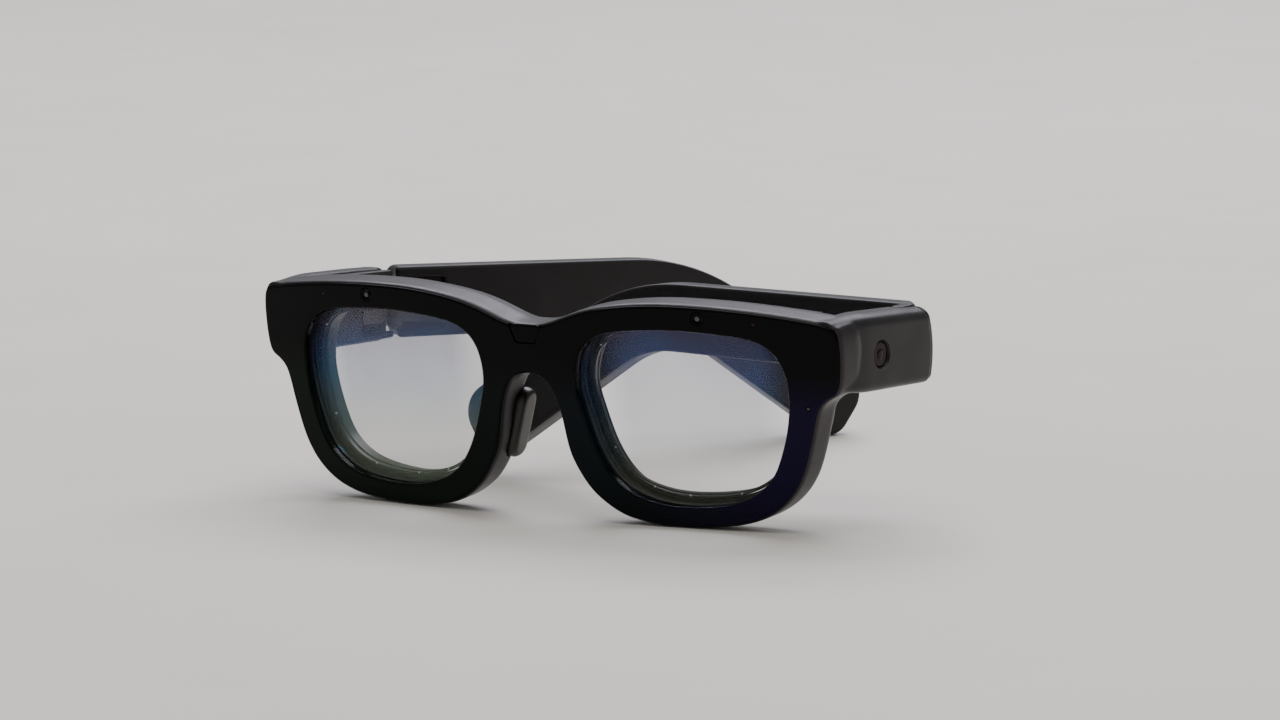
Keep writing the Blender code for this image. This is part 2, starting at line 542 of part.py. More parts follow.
def temple(side, parent):
    """Shell, inner cover, ear piece and the parts inside one temple."""
    place = on_arm(side)
    drop = math.tan(EAR_ANGLE)
    front = SEAM - 0.15
    toe = 0.4 + ARM_HEIGHT * math.tan(HINGE_TILT)
    arm = fillet_loop([(toe, lower_edge(0), 1.0), (front, lower_edge(front), 1.0),
                       (front, upper_edge(front), 1.0), (0.4, upper_edge(0), 1.0)])
    shell = slab(name_for("temple_shell", side), arm, [(SHELL_INNER, 0, 0), (7.4, 0, 0), (8.1, -0.3, 0),
                                                       (BLOCK_OUTER, -0.8, 0)], "satin_charcoal", place=place)
    room = fillet_loop([(12.6, -14.0, 0.6), (54.3, -12.9, 0.6), (54.3, -0.9, 0.6), (12.6, -1.4, 0.6)])
    cuts = [slab("room", room, [(1.0, 0, 0), (7.0, 0, 0)], None, place=place),
            rod("screw_hole", (8.0, (LEAF_TOP + LEAF_BOTTOM) / 2), 1.0, 1.0, 3.2, 12, place=place)]
    combine(shell, cuts, "DIFFERENCE")
    lid = fillet_loop([(toe, lower_edge(0), 1.0), (front, lower_edge(front), 1.0), (front, upper_edge(front), 1.0),
                       (0.4, upper_edge(0), 1.0), (0.4, -2.5, 0), (12.0, -2.5, 0.5), (12.0, -13.9, 0.5),
                       (toe, -13.9, 0)])
    cover = slab(name_for("temple_cover", side), lid, [(COVER_INNER, -0.35, 0), (0.65, 0, 0), (COVER_OUTER, 0, 0)],
                 "satin_charcoal", place=place)
    back = SEAM + 0.15
    low_bend, high_bend = lower_edge(LOWER_BEND), upper_edge(UPPER_BEND)
    ear = fillet_loop([(back, lower_edge(back), 1.0), (LOWER_BEND, low_bend, 20.0),
                       (TIP_LOW, low_bend - (TIP_LOW - LOWER_BEND) * drop, 4.4),
                       (TIP_HIGH, high_bend - (TIP_HIGH - UPPER_BEND) * drop, 6.0),
                       (UPPER_BEND, high_bend, 42.0), (back, upper_edge(back), 1.0)], math.radians(12))
    tip = slab(name_for("ear_piece", side), ear,
               [(COVER_INNER, -0.9, 0), (0.8, -0.2, 0), (1.5, 0, 0), (7.2, 0, 0), (8.1, -0.35, 0),
                (BLOCK_OUTER, -0.9, 0)], "satin_charcoal", place=place)
    parts = [shell, cover, tip,
             box(name_for("temple_board", side), (13.4, 5.5, -12.5), (24.0, 6.3, -2.6), "circuit", place),
             box(name_for("battery", side), (25.2, 2.3, -13.0), (42.0, 6.4, -2.2), "cell_foil", place),
             box(name_for("speaker", side), (43.4, 2.4, -12.4), (53.4, 6.3, -4.4), "module_grey", place),
             rod(name_for("microphone", side), (18.0, -5.5), 1.6, 2.6, 4.8, 12, "module_grey", place)]
    for part in parts:
        part.parent = parent


def main():
    """Build every sub-part."""
    front_cover()
    front_frame()
    rear_cover()
    front_electronics()
    top_button()
    for side in (1, -1):
        lens_parts(side)
        nose_pad(side)
        end_piece(side)
        fixed = hinge_frame(name_for("hinge_base", side), side, math.pi / 2)
        swung = hinge_frame(name_for("temple_pivot", side), side, OPEN_ANGLE[side])
        hinge_set(side, fixed, swung)
        temple(side, swung)


main()
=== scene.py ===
"""Smart glasses: the finished look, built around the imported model.

Lengths are in millimetres in the helpers and are scaled to metres when a mesh is made.
+X is the wearer's left, -Y is the way the wearer looks, and +Z is up.
"""
import json
import math

import bmesh
import bpy
import numpy as np
from mathutils import Matrix, Vector
from mathutils.geometry import delaunay_2d_cdt


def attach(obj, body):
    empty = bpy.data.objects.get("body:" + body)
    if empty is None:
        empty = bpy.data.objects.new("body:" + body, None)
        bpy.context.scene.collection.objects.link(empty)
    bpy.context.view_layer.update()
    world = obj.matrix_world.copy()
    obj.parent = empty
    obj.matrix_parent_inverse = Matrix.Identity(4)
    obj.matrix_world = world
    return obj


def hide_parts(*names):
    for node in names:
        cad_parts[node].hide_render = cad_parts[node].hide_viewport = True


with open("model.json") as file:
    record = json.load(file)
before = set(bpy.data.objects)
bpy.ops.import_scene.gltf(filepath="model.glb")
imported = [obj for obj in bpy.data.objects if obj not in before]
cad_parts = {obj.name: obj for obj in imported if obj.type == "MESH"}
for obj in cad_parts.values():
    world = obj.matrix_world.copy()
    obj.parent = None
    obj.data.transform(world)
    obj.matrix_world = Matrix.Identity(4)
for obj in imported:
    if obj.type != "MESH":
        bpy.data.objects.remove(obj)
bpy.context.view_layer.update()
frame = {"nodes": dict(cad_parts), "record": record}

MM = 0.001

# Front: wrap, lean and the layers from the glossy face to the wearer's face
FRONT_Y, STAND_Z = -66.8, -0.165
WRAP_RADIUS = 340.0
LEAN = math.radians(-5.2)
BROW_EXTRA_DEPTH = 2.5
COVER_INSET = -0.45

# End pieces and hinges
HINGE_X, HINGE_Y, HINGE_Z = 65.8, 41.7, 44.9
HINGE_TILT = math.radians(3.35)
BLOCK_TOP, BLOCK_BOTTOM, BLOCK_MIDDLE = 45.9, 29.2, 36.8
BLOCK_OUTER = 8.4
SHELL_INNER = 2.0
COVER_INNER, COVER_OUTER = 0.3, 1.85

# Temples
EAR_ANGLE = math.radians(34.2)
LOWER_BEND, UPPER_BEND = 66.0, 71.4
ARM_HEIGHT = 15.6
TIP_LOW, TIP_HIGH = 106.45, 114.5
OPEN_ANGLE = {1: 0.0, -1: math.radians(57.4)}

# Features of the front: places on the flat face, and the nose pads
BROW_CAMERA, BROW_CAMERA_R = (42.7, 45.7), 1.5
IR_LIGHT, IR_LIGHT_R = (55.5, 45.0), 0.5
STATUS_LIGHT = (66.7, 27.4)
EYE_X = 38.0
EYE_LIGHT_DEGREES = (-98, -62, -20, 28, 150, 205, 238)
PAD_CENTRE = (8.1, 6.5, 19.0)
PAD_LENGTH, PAD_DEPTH, PAD_THICK = 15.5, 6.4, 2.4
PAD_LEAN, PAD_YAW = math.radians(14.8), math.radians(6.0)
SIDE_CAMERA_Y, SIDE_CAMERA_Z = 20.9, 37.1

# Size of the grid that softens the frame, and width of the bevel on the steel nodes
FRAME_GRID = 0.32
STEEL_BEVEL = 0.08

# Camera: azimuth from the -Y side towards +X, elevation, roll, then distance and lens in mm.
# It aims this far across and above the foot of the front, along its own axes.
VIEW_AZIMUTH, VIEW_ELEVATION, VIEW_ROLL = math.radians(34.41), math.radians(7.94), math.radians(1.03)
VIEW_DISTANCE, VIEW_LENS = 2301.0, 304.36
VIEW_ACROSS, VIEW_ABOVE, VIEW_FOOT_Z = 21.773, 33.319, 0.135

# Outlines on the flat front: the glossy face, a lens opening and the channel behind the brow
COVER_HALF = [
    (0, 42.2), (5, 42.7), (12, 45.2), (19, 47.0), (30, 48.3), (42, 48.4), (54, 47.8), (65, 46.7),
    (72, 45.5), (74.2, 43.6), (74.5, 37), (73.5, 30.9), (70.6, 28.8), (68.7, 26.4), (66.9, 19.6),
    (64.3, 12), (60.3, 6.5), (54.2, 2.6), (45.5, 0.6), (33, 0.1), (26.5, 0.7), (20.5, 2.3),
    (14.5, 6.3), (10.7, 11.4), (8.7, 16), (7.3, 23.5), (5.6, 28), (3.6, 30.4), (0, 31.4)]
LENS_OPENING = [
    (61.9, 24.5), (62.4, 30), (61.6, 35.4), (58.6, 39.6), (53.5, 41.7), (45, 42.5), (36.5, 42.8),
    (27, 42.3), (18.6, 41), (13.6, 37.2), (11.9, 30.5), (13.2, 24), (16.6, 14.6), (22, 8.2),
    (31, 5), (42, 4.9), (51, 6.8), (57.2, 11.5), (60.4, 18.5)]
CHANNEL_HALF = [
    (0, 40.9), (5, 41.3), (12, 43.7), (19, 45.5), (30, 46.9), (42, 47.0), (54, 46.4), (57.5, 45.8),
    (57.5, 44.2), (54, 43.8), (45, 44.2), (36, 44.5), (27, 44.1), (18, 42.9), (12.5, 40.9),
    (9, 38), (0, 35.8)]


# ---- materials -------------------------------------------------------------------------------
class Nodes:
    """A material under construction, with short calls for its nodes."""

    def __init__(self, name):
        self.mat = bpy.data.materials.new(name)
        self.mat.use_nodes = True
        self.tree = self.mat.node_tree
        self.shader = self.tree.nodes["Principled BSDF"]
        self.place = self.add("ShaderNodeTexCoord").outputs["Object"]

    def add(self, kind, **settings):
        """A node with its settings and its socket values."""
        node = self.tree.nodes.new(kind)
        for key, value in settings.items():
            if key.startswith("in_"):
                node.inputs[key[3:].replace("_", " ")].default_value = value
            else:
                setattr(node, key, value)
        return node

    def link(self, source, target):
        """Join an output to an input."""
        self.tree.links.new(source, target)

    def noise(self, scale, detail=4.0, roughness=0.55, place=None):
        """Noise in metres: scale is repeats per metre."""
        node = self.add("ShaderNodeTexNoise", in_Scale=scale, in_Detail=detail, in_Roughness=roughness)
        self.link(place or self.place, node.inputs["Vector"])
        return node.outputs["Fac"]

    def ramp(self, source, stops):
        """A colour ramp; stops lists (position, colour)."""
        node = self.add("ShaderNodeValToRGB")
        elements = node.color_ramp.elements
        while len(elements) < len(stops):
            elements.new(0.5)
        for element, (position, colour) in zip(elements, stops):
            element.position = position
            element.color = (*colour, 1.0) if len(colour) == 3 else colour
        self.link(source, node.inputs["Fac"])
        return node.outputs["Color"]

    def span(self, source, low, high, to_low, to_high):
        """A number moved from one range to another."""
        node = self.add("ShaderNodeMapRange")
        for name, value in zip(("From Min", "From Max", "To Min", "To Max"), (low, high, to_low, to_high)):
            node.inputs[name].default_value = value
        self.link(source, node.inputs["Value"])
        return node.outputs["Result"]

    def maths(self, operation, a, b=0.0):
        """One math node; either side may be a number."""
        node = self.add("ShaderNodeMath", operation=operation)
        for socket, value in zip(node.inputs, (a, b)):
            if isinstance(value, (int, float)):
                socket.default_value = value
            else:
                self.link(value, socket)
        return node.outputs["Value"]

    def mix(self, factor, a, b, blend="MIX"):
        """A colour mix; a and b are colours or outputs."""
        node = self.add("ShaderNodeMix", data_type="RGBA", blend_type=blend)
        if isinstance(factor, (int, float)):
            node.inputs["Factor"].default_value = factor
        else:
            self.link(factor, node.inputs["Factor"])
        for name, value in (("A", a), ("B", b)):
            socket = [s for s in node.inputs if s.name == name and s.type == "RGBA"][0]
            if isinstance(value, tuple):
                socket.default_value = (*value, 1.0)
            else:
                self.link(value, socket)
        return [s for s in node.outputs if s.type == "RGBA"][0]

    def axis(self, name):
        """One coordinate of the piece, in metres."""
        node = self.add("ShaderNodeSeparateXYZ")
        self.link(self.place, node.inputs["Vector"])
        return node.outputs[name]

    def bump(self, source, strength, distance):
        """A bump from a height, on the shader's normal."""
        node = self.add("ShaderNodeBump", in_Strength=strength, in_Distance=distance)
        self.link(source, node.inputs["Height"])
        self.link(node.outputs["Normal"], self.shader.inputs["Normal"])

    def constants(self, **values):
        """Plain values on the shader's own sockets."""
        for name, value in values.items():
            self.shader.inputs[name.replace("_", " ")].default_value = value


def satin_material(name, dark, light, roughness, grain=5200.0, bump=0.08, touch=0.35):
    """Moulded or coated plastic with a fine grain, faint mottling and touch marks."""
    m = Nodes(name)
    mottle = m.noise(90.0, 5.0)
    base = m.ramp(mottle, [(0.3, dark), (0.72, light)])
    touched = m.span(m.noise(38.0, 6.0, 0.65), 0.52, 0.74, 0.0, touch)
    m.link(m.mix(touched, base, tuple(min(1.0, c * 1.7) for c in light)), m.shader.inputs["Base Color"])
    fine = m.noise(grain, 2.0)
    smear = m.noise(160.0, 6.0, 0.6)
    rough = m.maths("ADD", m.span(smear, 0.3, 0.7, roughness - 0.05, roughness + 0.06),
                    m.span(fine, 0.2, 0.8, -0.03, 0.03))
    m.link(rough, m.shader.inputs["Roughness"])
    m.bump(fine, bump, 0.00004)
    return m


def satin_charcoal():
    """The satin coat of the frame and the temples."""
    m = satin_material("satin_charcoal_coat", (0.0105, 0.0088, 0.0094), (0.0165, 0.0138, 0.0148), 0.35)
    m.constants(Specular_IOR_Level=0.27)
    return m.mat


def inner_black():
    """The matt moulding inside the rims."""
    dark, light = (0.006, 0.006, 0.006), (0.011, 0.010, 0.010)
    return satin_material("inner_black_moulding", dark, light, 0.34, 3800.0, 0.1, 0.2).mat


def gloss_black():
    """Polished near-black face with painted reflections: a green cast at one side and violet at the other,
    fading to near-black towards the top, and faint wipe marks.
    """
    m = Nodes("gloss_black_face")
    # Painted reflection: green and violet casts across the face, varied by a noise cloud.
    painted_reflection_tint = m.ramp(m.span(m.axis("X"), -0.075, 0.075, 0.0, 1.0),
                  [(0.0, (0.0030, 0.0065, 0.0042)), (0.34, (0.0028, 0.0095, 0.0042)),
                   (0.52, (0.0026, 0.0050, 0.0085)), (0.66, (0.0026, 0.0070, 0.0080)),
                   (0.86, (0.0064, 0.0034, 0.0230)), (1.0, (0.0075, 0.0038, 0.0280))])
    # The painted reflection fades out towards the top, leaving near-black there.
    upper = m.span(m.axis("Z"), 0.026, 0.034, 0.0, 1.0)
    cloud = m.ramp(m.noise(26.0, 3.0), [(0.35, (0.55, 0.55, 0.55)), (0.7, (1.3, 1.3, 1.3))])
    varied = m.mix(1.0, painted_reflection_tint, cloud, "MULTIPLY")
    colour = m.mix(upper, varied, (0.0014, 0.0013, 0.0016))
    m.link(colour, m.shader.inputs["Base Color"])
    wipes = m.noise(75.0, 7.0, 0.65)
    m.link(m.span(wipes, 0.35, 0.75, 0.055, 0.13), m.shader.inputs["Roughness"])
    m.bump(m.noise(420.0, 2.0), 0.02, 0.00003)
    m.constants(Specular_IOR_Level=0.06, Coat_Weight=0.03, Coat_Roughness=0.03)
    return m.mat


def coated_glass(name, haze, clear, film, alpha_low, alpha_high, bottom, top):
    """Clear glass whose coloured haze grows with height, and is weaker towards the sides of the eye."""
    m = Nodes(name)
    height = m.axis("Z")
    drift = m.span(m.noise(34.0, 3.0), 0.25, 0.75, -0.006, 0.006)
    level = m.span(m.maths("ADD", height, drift), bottom, top, 0.0, 1.0)
    colour = m.ramp(level, [(0.0, clear), (0.45, haze[0]), (0.72, haze[1]), (1.0, haze[2])])
    m.link(colour, m.shader.inputs["Base Color"])
    dust = m.span(m.noise(260.0, 5.0), 0.6, 0.85, 0.0, 0.008)
    from_nose = m.maths("ABSOLUTE", m.axis("X"))
    off_middle = m.maths("ABSOLUTE", m.maths("SUBTRACT", from_nose, EYE_X * MM))
    field = m.span(off_middle, 0.015, 0.0215, 1.0, 0.08)
    haze_now = m.maths("MULTIPLY", m.span(level, 0.0, 1.0, alpha_low, alpha_high), field)
    alpha = m.maths("ADD", haze_now, dust)
    gloss = m.add("ShaderNodeFresnel", in_IOR=1.6)
    m.link(m.maths("ADD", alpha, m.maths("MULTIPLY", gloss.outputs["Fac"], 0.18)), m.shader.inputs["Alpha"])
    m.link(m.span(m.noise(120.0, 6.0), 0.3, 0.8, 0.01, 0.06), m.shader.inputs["Roughness"])
    m.constants(Specular_IOR_Level=0.8, Thin_Film_Thickness=film, Thin_Film_IOR=1.38, Coat_Weight=0.4,
                Coat_Roughness=0.02)
    return m.mat


def camera_glass():
    """Dark optical window with a brown-red cast."""
    m = Nodes("camera_window_glass")
    m.link(m.ramp(m.noise(300.0, 3.0), [(0.3, (0.008, 0.004, 0.003)), (0.75, (0.024, 0.010, 0.007))]),
           m.shader.inputs["Base Color"])
    m.link(m.span(m.noise(500.0, 5.0), 0.3, 0.7, 0.04, 0.1), m.shader.inputs["Roughness"])
    m.constants(Specular_IOR_Level=0.10, Coat_Weight=0.05, Coat_Roughness=0.02)
    return m.mat


def circuit():
    """Solder mask with tracks and pads."""
    m = Nodes("circuit_mask")
    cells = m.add("ShaderNodeTexVoronoi", in_Scale=900.0, distance="CHEBYCHEV", feature="F1")
    m.link(m.place, cells.inputs["Vector"])
    m.link(m.ramp(cells.outputs["Distance"], [(0.12, (0.45, 0.33, 0.12)), (0.2, (0.012, 0.075, 0.045)),
                                              (0.8, (0.018, 0.10, 0.06))]), m.shader.inputs["Base Color"])
    m.link(m.span(m.noise(700.0), 0.3, 0.7, 0.3, 0.5), m.shader.inputs["Roughness"])
    m.bump(cells.outputs["Distance"], 0.3, 0.0001)
    return m.mat


def steel():
    """Brushed and blackened steel."""
    m = Nodes("brushed_steel_fine")
    stretch = m.add("ShaderNodeMapping", in_Scale=(400.0, 400.0, 9000.0))
    m.link(m.place, stretch.inputs["Vector"])
    lines = m.noise(1.0, 3.0, 0.6, stretch.outputs["Vector"])
    colour = m.ramp(lines, [(0.3, (0.085, 0.083, 0.082)), (0.7, (0.15, 0.147, 0.145))])
    m.link(colour, m.shader.inputs["Base Color"])
    m.link(m.span(lines, 0.2, 0.8, 0.24, 0.42), m.shader.inputs["Roughness"])
    m.bump(lines, 0.12, 0.00003)
    m.constants(Metallic=1.0)
    return m.mat


def cell_foil():
    """Dull crinkled foil pouch."""
    m = Nodes("cell_foil_pouch")
    creases = m.noise(500.0, 6.0, 0.7)
    colour = m.ramp(creases, [(0.3, (0.26, 0.27, 0.29)), (0.7, (0.42, 0.43, 0.45))])
    m.link(colour, m.shader.inputs["Base Color"])
    m.link(m.span(creases, 0.2, 0.8, 0.32, 0.5), m.shader.inputs["Roughness"])
    m.bump(creases, 0.3, 0.0002)
    m.constants(Metallic=0.8)
    return m.mat


def pad_rubber():
    """Matt silicone, dark olive brown."""
    m = satin_material("pad_silicone", (0.009, 0.008, 0.005), (0.017, 0.015, 0.009), 0.36, 2600.0, 0.12, 0.5)
    m.constants(Specular_IOR_Level=0.4, Coat_Weight=0.15, Coat_Roughness=0.25)
    return m.mat


def module_grey():
    """Moulded module casings."""
    dark, light = (0.05, 0.05, 0.055), (0.09, 0.09, 0.095)
    return satin_material("module_moulding", dark, light, 0.45, 3000.0, 0.12, 0.4).mat


def light_white():
    """Milky light window."""
    m = Nodes("light_window")
    colour = m.ramp(m.noise(1500.0), [(0.3, (0.62, 0.62, 0.60)), (0.7, (0.85, 0.85, 0.82))])
    m.link(colour, m.shader.inputs["Base Color"])
    m.link(m.span(m.noise(900.0), 0.3, 0.7, 0.15, 0.3), m.shader.inputs["Roughness"])
    m.constants(Subsurface_Weight=0.2, Coat_Weight=0.5)
    return m.mat


MATERIALS = {
    "gloss_black": gloss_black(),
    "satin_charcoal": satin_charcoal(),
    "inner_black": inner_black(),
    "lens_glass": coated_glass("outer_lens_glass",
                               haze=[(0.16, 0.30, 0.42), (0.10, 0.12, 0.32), (0.12, 0.10, 0.10)],
                               clear=(0.42, 0.46, 0.36), film=420.0, alpha_low=0.010, alpha_high=0.03,
                               bottom=0.010, top=0.044),
    "guide_glass": coated_glass("waveguide_glass",
                                haze=[(0.05, 0.28, 0.64), (0.11, 0.26, 0.62), (0.15, 0.15, 0.26)],
                                clear=(0.40, 0.46, 0.30), film=310.0, alpha_low=0.02, alpha_high=0.22,
                                bottom=0.010, top=0.044),
    "camera_glass": camera_glass(),
    "circuit": circuit(),
    "steel": steel(),
    "cell_foil": cell_foil(),
    "pad_rubber": pad_rubber(),
    "module_grey": module_grey(),
    "light_white": light_white(),
}


# ---- outlines --------------------------------------------------------------------------------
def smooth_loop(points, spacing):
    """A closed Catmull-Rom curve through the points, resampled at an even spacing."""
    ctrl = np.array(points, float)
    count = len(ctrl)
    fine = []
    for i in range(count):
        p0, p1, p2, p3 = (ctrl[(i + j - 1) % count] for j in range(4))
        for t in np.linspace(0.0, 1.0, 12, endpoint=False):
            fine.append(0.5 * (2 * p1 + (p2 - p0) * t + (2 * p0 - 5 * p1 + 4 * p2 - p3) * t ** 2
                               + (3 * p1 - p0 - 3 * p2 + p3) * t ** 3))
    fine = np.array(fine)
    for _ in range(10):
        fine = (np.roll(fine, 1, axis=0) + 2 * fine + np.roll(fine, -1, axis=0)) / 4
    fine = np.vstack([fine, fine[:1]])
    run = np.concatenate([[0.0], np.cumsum(np.linalg.norm(np.diff(fine, axis=0), axis=1))])
    steps = max(8, int(round(run[-1] / spacing)))
    at = np.linspace(0.0, run[-1], steps, endpoint=False)
    return np.column_stack([np.interp(at, run, fine[:, 0]), np.interp(at, run, fine[:, 1])])


def mirrored_half(half):
    """The full outline of a half whose first and last points lie on the mirror line."""
    return list(half) + [(-x, z) for x, z in reversed(half[1:-1])]


def fillet_loop(corners, arc_step=math.radians(6), spacing=0.7, crown=0.015):
    """A polygon whose corners (x, z, radius) are rounded with arcs; its edges are very slightly crowned."""
    out = []
    count = len(corners)
    for i in range(count):
        corner = Vector(corners[i][:2])
        before = (Vector(corners[i - 1][:2]) - corner).normalized()
        after = (Vector(corners[(i + 1) % count][:2]) - corner).normalized()
        radius = corners[i][2]
        if radius <= 0:
            out.append(tuple(corner))
            continue
        half = before.angle(after) / 2
        centre = corner + (before + after).normalized() * (radius / math.sin(half))
        start = corner + before * (radius / math.tan(half)) - centre
        turn = math.pi - 2 * half
        if start.x * before.y - start.y * before.x > 0:
            turn = -turn
        steps = max(2, int(math.ceil(abs(turn) / arc_step)))
        for k in range(steps + 1):
            a = turn * k / steps
            out.append((centre.x + start.x * math.cos(a) - start.y * math.sin(a),
                        centre.y + start.x * math.sin(a) + start.y * math.cos(a)))
    out = np.array(out)
    out = out[np.linalg.norm(out - np.roll(out, 1, axis=0), axis=1) > 1e-3]
    following = np.roll(out, -1, axis=0)
    turn_sign = np.sign(np.sum(out[:, 0] * following[:, 1] - following[:, 0] * out[:, 1]))
    parts = []
    for here, there in zip(out, following):
        along = there - here
        pieces = max(1, int(round(np.linalg.norm(along) / spacing)))
        outward = np.array([along[1], -along[0]]) / np.linalg.norm(along) * turn_sign
        parts += [here + along * t + outward * crown * 4 * t * (1 - t) for t in np.arange(pieces) / pieces]
    return np.array(parts)


def circle_loop(centre, radius, sides=40):
    """A round outline."""
    angles = np.linspace(0.0, 2 * math.pi, sides, endpoint=False)
    return np.column_stack([centre[0] + radius * np.cos(angles), centre[1] + radius * np.sin(angles)])


def grown(loop, distance):
    """The loop moved outward by a distance, or inward if it is negative."""
    loop = np.asarray(loop, float)
    if not distance:
        return loop
    ahead = np.roll(loop, -1, axis=0)
    behind = np.roll(loop, 1, axis=0)
    area = np.sum(loop[:, 0] * ahead[:, 1] - ahead[:, 0] * loop[:, 1])
    edge_a = (loop - behind) / np.maximum(np.linalg.norm(loop - behind, axis=1), 1e-9)[:, None]
    edge_b = (ahead - loop) / np.maximum(np.linalg.norm(ahead - loop, axis=1), 1e-9)[:, None]
    normal = np.column_stack([edge_a[:, 1] + edge_b[:, 1], -edge_a[:, 0] - edge_b[:, 0]])
    normal /= np.linalg.norm(normal, axis=1)[:, None]
    miter = np.maximum(0.6, np.abs(normal[:, 0] * edge_b[:, 1] - normal[:, 1] * edge_b[:, 0]))
    moved = loop + normal * (distance * np.sign(area) / miter)[:, None]
    return without_crossings(moved, loop, abs(distance))


def without_crossings(moved, loop, distance):
    """Even out the points that came nearer to the first loop than the distance they moved."""
    along = np.roll(loop, -1, axis=0) - loop
    gap = moved[:, None, :] - loop[None, :, :]
    part = np.clip((gap * along).sum(axis=2) / np.maximum((along ** 2).sum(axis=1), 1e-12), 0.0, 1.0)
    near = np.linalg.norm(gap - part[:, :, None] * along, axis=2).min(axis=1)
    good = np.flatnonzero(near > distance * 0.985 - 1e-6)
    if len(good) == len(moved) or len(good) < 8:
        return moved
    count = len(moved)
    at = np.concatenate([good, [good[0] + count]])
    spots = np.vstack([moved[good], moved[good[:1]]])
    every = (np.arange(count) - good[0]) % count + good[0]
    return np.column_stack([np.interp(every, at, spots[:, k]) for k in (0, 1)])


def inside(spots, loop):
    """For each spot, whether it is inside the closed loop."""
    spots = np.atleast_2d(spots)
    ahead = np.roll(loop, -1, axis=0)
    x, z = spots[:, :1], spots[:, 1:]
    crosses = (loop[:, 1] > z) != (ahead[:, 1] > z)
    rise = np.where(ahead[:, 1] == loop[:, 1], 1e-12, ahead[:, 1] - loop[:, 1])
    at = loop[:, 0] + (z - loop[:, 1]) * (ahead[:, 0] - loop[:, 0]) / rise
    return np.sum(crosses & (x < at), axis=1) % 2 == 1


def fill_triangles(loops, grid):
    """Triangles that fill the first loop less the others, and the grid points that they use."""
    points = np.vstack(loops)
    edges = []
    start = 0
    for loop in loops:
        edges += [(start + i, start + (i + 1) % len(loop)) for i in range(len(loop))]
        start += len(loop)
    extra = np.zeros((0, 2))
    if grid:
        low, high = loops[0].min(axis=0), loops[0].max(axis=0)
        columns, heights = (np.arange(low[k] + grid / 2, high[k], grid) for k in (0, 1))
        gx, gz = np.meshgrid(columns, heights)
        spots = np.column_stack([gx.ravel(), gz.ravel()])
        keep = inside(spots, loops[0])
        for hole in loops[1:]:
            keep &= ~inside(spots, hole)
        spots = spots[keep]
        far = [np.linalg.norm(points - s, axis=1).min() > grid * 0.45 for s in spots]
        extra = spots[np.array(far, bool)] if len(spots) else spots
    every = [Vector(p) for p in np.vstack([points, extra])]
    found, _, faces, origins, _, _ = delaunay_2d_cdt(every, edges, [], 0, 1e-7)
    middles = np.array([[sum(found[i][k] for i in f) / 3 for k in (0, 1)] for f in faces])
    keep = inside(middles, loops[0])
    for hole in loops[1:]:
        keep &= ~inside(middles, hole)
    known = np.vstack([points, extra])
    number = [o[0] if o else int(np.linalg.norm(known - np.array(v), axis=1).argmin())
              for v, o in zip(found, origins)]
    triangles = [[number[i] for i in f] for f, ok in zip(faces, keep) if ok]
    return [t for t in triangles if len(set(t)) == 3], extra


# ---- bodies ----------------------------------------------------------------------------------
def mesh_object(name, verts, faces, place=None, sharp=32.0):
    """A closed mesh object, smooth except at its sharp edges; verts are in mm."""
    spots = [place(*v) if place else v for v in verts]
    mesh = bpy.data.meshes.new(name)
    mesh.from_pydata([Vector(s) * MM for s in spots], [], faces)
    work = bmesh.new()
    work.from_mesh(mesh)
    bmesh.ops.recalc_face_normals(work, faces=work.faces)
    work.to_mesh(mesh)
    work.free()
    mesh.shade_smooth()
    mesh.set_sharp_from_angle(angle=math.radians(sharp))
    obj = bpy.data.objects.new(name, mesh)
    bpy.context.scene.collection.objects.link(obj)
    return obj


def slab(name, outer, levels, holes=(), grid=0.0, place=None, sharp=32.0):
    """A body with one outline in (x, z), stacked along y; levels lists (y, growth, holes' growth)."""
    verts, faces, rows = [], [], []
    for level in levels:
        y, grow_outer = level[:2]
        grow_hole = level[2] if len(level) > 2 else 0.0
        row = []
        for k, loop in enumerate([outer, *holes]):
            shape = grown(loop, grow_outer if k == 0 else grow_hole)
            row.append((len(verts), len(shape), shape))
            verts += [(x, y, z) for x, z in shape]
        rows.append(row)
    for lower, upper in zip(rows, rows[1:]):
        for (a, n, _), (b, _, _) in zip(lower, upper):
            faces += [(a + i, a + (i + 1) % n, b + (i + 1) % n, b + i) for i in range(n)]
    for row, level in ((rows[0], levels[0]), (rows[-1], levels[-1])):
        triangles, extra = fill_triangles([entry[2] for entry in row], grid)
        numbers = [entry[0] + i for entry in row for i in range(entry[1])]
        numbers += range(len(verts), len(verts) + len(extra))
        verts += [(x, level[0], z) for x, z in extra]
        faces += [tuple(numbers[i] for i in tri) for tri in triangles]
    return mesh_object(name, verts, faces, place, sharp)


def rounded(start, end, radius_start, radius_end, steps=6):
    """Levels (y, growth) of a slab whose two rims are rounded with quarter circles."""
    turns = [math.pi / 2 * k / steps for k in range(steps + 1)]
    first = [(start + radius_start * (1 - math.cos(a)), -radius_start * (1 - math.sin(a))) for a in turns]
    last = [(end - radius_end * (1 - math.cos(a)), -radius_end * (1 - math.sin(a))) for a in reversed(turns)]
    return (first if radius_start else first[:1]) + (last if radius_end else last[:1])


def cut(obj, cutters):
    """Cut closed bodies out of obj, and remove them."""
    for cutter in cutters:
        mod = obj.modifiers.new("cut", "BOOLEAN")
        mod.operation = "DIFFERENCE"
        mod.solver = "EXACT"
        mod.object = cutter
    bake(obj)
    for cutter in cutters:
        bpy.data.objects.remove(cutter)
    return obj


def join(obj, others):
    """Fuse closed bodies into obj, and remove them."""
    for other in others:
        mod = obj.modifiers.new("join", "BOOLEAN")
        mod.operation = "UNION"
        mod.solver = "EXACT"
        mod.object = other
    bake(obj)
    for other in others:
        bpy.data.objects.remove(other)
    return obj


def bake(obj):
    """Apply an object's modifiers."""
    graph = bpy.context.evaluated_depsgraph_get()
    result = bpy.data.meshes.new_from_object(obj.evaluated_get(graph))
    obj.modifiers.clear()
    obj.data = result
    result.shade_smooth()


def move_points(obj, place):
    """Move each point of a mesh by a mapping in millimetres."""
    for vert in obj.data.vertices:
        vert.co = Vector(place(*(vert.co / MM))) * MM


